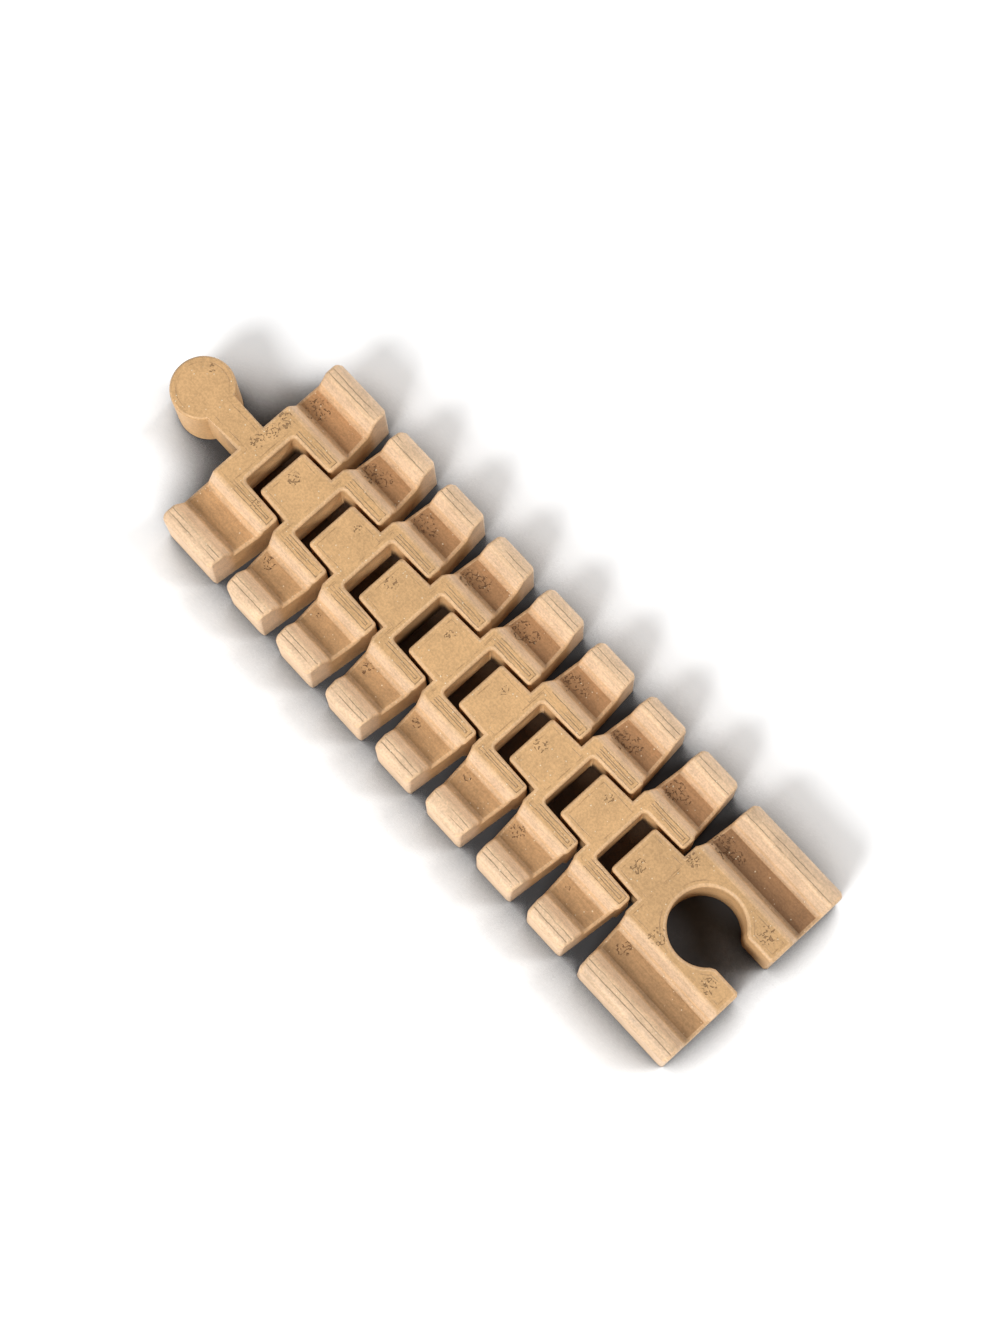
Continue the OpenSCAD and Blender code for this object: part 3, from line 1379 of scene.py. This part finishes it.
@dataclass(frozen=True)
class Track:
    """The row of links, from the peg to the socket.

    Attributes:
        sizes: Sizes of the links.
        library: The shared patterns.
        base: Colour of the plain plastic, scene-linear like the rest.
        groove: Colour of a groove floor before it is darkened.
        rail: Colour of the rails, their own tone, and of the groove slopes, where it stands for a painted
            sheen.
        peg_groove_tone_and_shade: Brightness left in the peg link's grooves, darkened partly by their own
            tone and partly by painted shade.
        middle_groove_tone_and_shade: Brightness left in the middle links' grooves.
        socket_groove_tone_and_shade: Brightness left in the socket link's grooves, the brownest.
        socket_painted_shade: How much darker the socket link is painted, as shade where the light falls off
            towards that end.
        tone_swing: How far the brightness swings from link to link.
        tone_step: Turn of that swing from link to link, in radians.
        wander_step: Turn of the pits' wandering from link to link, in radians.
        seed_step: Shift of the grain from link to link.
    """

    sizes: TrackSizes
    library: PatternLibrary
    base: Rgb = (0.585, 0.355, 0.166)
    groove: Rgb = (0.53, 0.275, 0.122)
    rail: Rgb = (0.69, 0.485, 0.315)
    peg_groove_tone_and_shade: float = 0.92
    middle_groove_tone_and_shade: float = 0.75
    socket_groove_tone_and_shade: float = 0.62
    socket_painted_shade: float = 0.12
    tone_swing: float = 0.02
    tone_step: float = 1.7
    wander_step: float = 2.4
    seed_step: float = 17.3

    def names(self) -> list[str]:
        """The links' names in order from the peg.

        Returns:
            One name for each CAD node.
        """
        middle = [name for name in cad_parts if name.startswith(MIDDLE_PREFIX)]
        middle.sort(key=lambda name: int(name.removeprefix(MIDDLE_PREFIX)))
        return [PEG_NAME, *middle, SOCKET_NAME]

    @staticmethod
    def kind(name: str) -> LinkKind:
        """The kind of link that a name stands for."""
        return {PEG_NAME: LinkKind.PEG, SOCKET_NAME: LinkKind.SOCKET}.get(name, LinkKind.MIDDLE)

    def peg_spots(self) -> tuple[PitSpot, ...]:
        """Patches of pits on the peg link.

        Returns:
            The patches, from the right groove to the left arm.
        """
        s = self.sizes
        return (
            PitSpot(along=s.peg_face - 3.4, across=0.5 - s.groove_middle, radius=2.9),
            PitSpot(along=s.peg_face - 1.7, across=-6.4, radius=1.9),
            PitSpot(along=s.peg_face - 1.7, across=-3.6, radius=1.7),
            PitSpot(along=s.peg_face - 1.2, across=-0.6, radius=1.7),
            PitSpot(along=s.peg_centre + 1.6, across=-3.4, radius=1.0),
            PitSpot(along=s.arm_tip + 4.4, across=6.9, radius=1.2),
        )

    def middle_spots(self, wander: float) -> tuple[PitSpot, ...]:
        """Patches of pits on a middle link.

        Args:
            wander: How far this link's patches wander, from -1 to 1.

        Returns:
            The patches, in the right groove, the left groove and on the tongue.
        """
        s = self.sizes
        return (
            PitSpot(along=s.root - 3.2, across=0.9 + 0.4 * wander - s.groove_middle, radius=2.3),
            PitSpot(along=s.root - 5.4, across=0.3 - s.groove_middle, radius=1.6 + 0.4 * wander),
            PitSpot(along=s.root - 3.0, across=s.groove_middle - 0.8, radius=1.2 + 0.5 * wander),
            PitSpot(along=0.4 + 0.9 * wander, across=1.2 * wander - 1.6, radius=1.3 + 0.3 * wander),
        )

    def socket_spots(self) -> tuple[PitSpot, ...]:
        """Patches of pits on the socket link.

        Returns:
            The patches, in the grooves, round the keyhole and on the tongue.
        """
        s = self.sizes
        return (
            PitSpot(along=s.root - 3.0, across=1.3 - s.groove_middle, radius=2.8),
            PitSpot(along=s.root - 6.0, across=0.6 - s.groove_middle, radius=1.5),
            PitSpot(along=s.root - 1.4, across=-6.0, radius=1.7),
            PitSpot(along=s.root - 6.6, across=6.9, radius=2.0),
            PitSpot(along=s.socket_face + 3.8, across=-6.2, radius=2.1),
            PitSpot(along=s.socket_face + 4.4, across=6.4, radius=1.8),
            PitSpot(along=s.root - 4.0, across=s.groove_middle - 0.6, radius=1.7),
            PitSpot(along=0.6, across=1.4, radius=1.7),
        )

    def finish(self, kind: LinkKind, number: int) -> LinkFinish:
        """How a link's plastic looks.

        Args:
            kind: Shape of the link.
            number: The link's place in the row.

        Returns:
            The finish, a touch lighter or darker than its neighbours'.
        """
        tone = 1.0 + self.tone_swing * math.sin(self.tone_step * number)
        if kind is LinkKind.PEG:
            groove_tone_and_shade = self.peg_groove_tone_and_shade
            spots = self.peg_spots()
        elif kind is LinkKind.MIDDLE:
            groove_tone_and_shade = self.middle_groove_tone_and_shade
            spots = self.middle_spots(math.sin(self.wander_step * number))
        else:
            groove_tone_and_shade = self.socket_groove_tone_and_shade
            spots = self.socket_spots()
            # The socket link is painted darker as shade, where the light falls off.
            tone -= self.socket_painted_shade
        return LinkFinish(
            base=shaded(self.base, tone),
            groove=shaded(self.groove, tone * groove_tone_and_shade),
            rail=shaded(self.rail, tone),
            seed=self.seed_step * (number + 1),
            spots=spots,
        )

    def build(self) -> None:
        """Makes every link and hands it to its body."""
        peg_low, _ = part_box("peg_link")
        first_swivel = peg_low.x / MM - self.sizes.arm_tip
        for number, name in enumerate(self.names()):
            kind = self.kind(name)
            swivel = first_swivel - number * self.sizes.pitch
            piece = LinkShape(name, swivel, self.sizes).build()
            label = f"wood_filled_plastic_{number + 1}"
            finish = self.finish(kind, number)
            material = LinkMaterial(label, kind, finish, swivel, self.library).build()
            piece.data.materials.append(material)
            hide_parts(name)
            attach(piece, name)
            LOG.info("%s dressed at %.2f mm", name, swivel)


@dataclass(frozen=True)
class SoftLight:
    """A round soft light that points at the track.

    Attributes:
        name: Name of the light.
        azimuth: Side that the light comes from, in degrees from +X.
        elevation: Height of the light above the floor, in degrees.
        size: Width of the light, in metres.
        power: Power, in watts.
        distance: Distance from the middle of the track, in metres.
    """

    name: str
    azimuth: float
    elevation: float
    size: float
    power: float
    distance: float = 1.2

    def place(self) -> None:
        """Puts the light in the scene."""
        data = bpy.data.lights.new(self.name, "AREA")
        data.shape = "DISK"
        data.size = self.size
        data.energy = self.power
        light = bpy.data.objects.new(self.name, data)
        bpy.context.scene.collection.objects.link(light)
        azimuth = math.radians(self.azimuth)
        elevation = math.radians(self.elevation)
        level = math.cos(elevation)
        way = Vector((level * math.cos(azimuth), level * math.sin(azimuth), math.sin(elevation)))
        light.location = way * self.distance
        light.rotation_mode = "QUATERNION"
        light.rotation_quaternion = way.to_track_quat("Z", "Y")
        LOG.info("light %s: %.1f W", self.name, self.power)


@dataclass(frozen=True)
class StudioFloor:
    """A pale floor that glows a little, with shadow painted into its colour where the track shelters it.

    Attributes:
        size: Side of the floor, in metres.
        shelter_reach: How far the shelter is felt, in metres.
        shelter_samples: Rays that feel for it.
        shelter_fade: Openness at which the floor is fully dark and fully pale.
        painted_floor_shadow: Colour painted under the track as its shadow.
        pale: Colour in the open.
        glow: Strength of the glow in the open.
        rough: Roughness.
        specular: Strength of the mirror part.
    """

    size: float = 8.0
    shelter_reach: float = 45 * MM
    shelter_samples: int = 12
    shelter_fade: Span = (0.38, 0.91)
    painted_floor_shadow: Colour = (0.052, 0.053, 0.056, 1.0)
    pale: Colour = (0.94, 0.945, 0.95, 1.0)
    glow: float = 0.20
    rough: float = 0.85
    specular: float = 0.1

    def paper(self) -> bpy.types.Material:
        """Writes the floor's material.

        Returns:
            The material.
        """
        paper = bpy.data.materials.new("floor_paper")
        paper.use_nodes = True
        graph = Graph(paper.node_tree)
        shader = paper.node_tree.nodes["Principled BSDF"]
        shelter = graph.node("ShaderNodeAmbientOcclusion")
        shelter.inputs["Distance"].default_value = self.shelter_reach
        shelter.samples = self.shelter_samples
        # Where the track hides the floor, its colour goes dark: a painted shadow.
        open_air = graph.rise(shelter.outputs["AO"], self.shelter_fade)
        graph.feed(shader.inputs["Base Color"], graph.mix(open_air, self.painted_floor_shadow, self.pale))
        graph.feed(shader.inputs["Emission Color"], shaded((1.0, 1.0, 1.0), 1.0))
        graph.feed(shader.inputs["Emission Strength"], graph.product(open_air, self.glow))
        shader.inputs["Roughness"].default_value = self.rough
        shader.inputs["Specular IOR Level"].default_value = self.specular
        return paper

    def build(self) -> None:
        """Lays the floor under the track."""
        mesh = bmesh.new()
        bmesh.ops.create_grid(mesh, x_segments=4, y_segments=4, size=self.size / 2)
        data = bpy.data.meshes.new("studio_floor")
        mesh.to_mesh(data)
        mesh.free()
        floor = bpy.data.objects.new("studio_floor", data)
        bpy.context.scene.collection.objects.link(floor)
        floor.data.materials.append(self.paper())


@dataclass(frozen=True)
class Studio:
    """The floor, the soft lights, the air and the camera.

    Attributes:
        floor: The pale floor.
        lights: The lights, strongest first.
        air: Strength of the even light that fills the room.
        camera_place: Where the camera stands, in metres.
        camera_target: The point that the camera looks at, in metres.
        camera_roll: Turn of the camera about its line of sight, in degrees.
        lens: Focal length, in millimetres.
        sensor: Width of the sensor, in millimetres.
        near: Nearest distance that the camera sees, in metres.
    """

    floor: StudioFloor = StudioFloor()
    lights: tuple[SoftLight, ...] = (
        SoftLight(name="window", azimuth=100.0, elevation=38.0, size=0.60, power=16.8),
        SoftLight(name="lamp", azimuth=232.0, elevation=50.0, size=0.34, power=5.0),
        SoftLight(name="skim", azimuth=276.0, elevation=20.0, size=0.20, power=5.6),
    )
    air: float = 0.13
    camera_place: Rgb = (-0.07198, 0.05408, 0.44177)
    camera_target: Rgb = (-0.00379, -0.00516, 0.006)
    camera_roll: float = 1.559
    lens: float = 71.95
    sensor: float = 36.0
    near: float = 0.01

    def camera(self) -> None:
        """Stands the camera where it looks down on the track."""
        data = bpy.data.cameras.new("studio_camera")
        data.lens = self.lens
        data.sensor_width = self.sensor
        data.clip_start = self.near
        camera = bpy.data.objects.new("studio_camera", data)
        bpy.context.scene.collection.objects.link(camera)
        place = Vector(self.camera_place)
        back = (place - Vector(self.camera_target)).normalized()
        right = Vector((0.0, 0.0, 1.0)).cross(back).normalized()
        turn = Matrix((right, back.cross(right), back)).transposed()
        roll = Matrix.Rotation(math.radians(-self.camera_roll), 3, "Z")
        camera.matrix_world = Matrix.Translation(place) @ (turn @ roll).to_4x4()
        bpy.context.scene.camera = camera

    def fill_air(self) -> None:
        """Fills the room with a little even light."""
        world = bpy.data.worlds.new("studio_air")
        bpy.context.scene.world = world
        world.use_nodes = True
        background = world.node_tree.nodes["Background"]
        background.inputs["Color"].default_value = shaded((1.0, 1.0, 1.0), 1.0)
        background.inputs["Strength"].default_value = self.air

    def build(self) -> None:
        """Sets up the whole studio."""
        bpy.context.scene.view_settings.view_transform = "Standard"
        self.camera()
        self.floor.build()
        self.fill_air()
        for light in self.lights:
            light.place()


def main() -> None:
    """Builds the track and the studio."""
    logging.basicConfig(level=logging.INFO, format="%(name)s: %(message)s")
    sizes = TrackSizes()
    Studio().build()
    Track(sizes, PatternLibrary.build(sizes)).build()


if __name__ == "__main__":
    main()
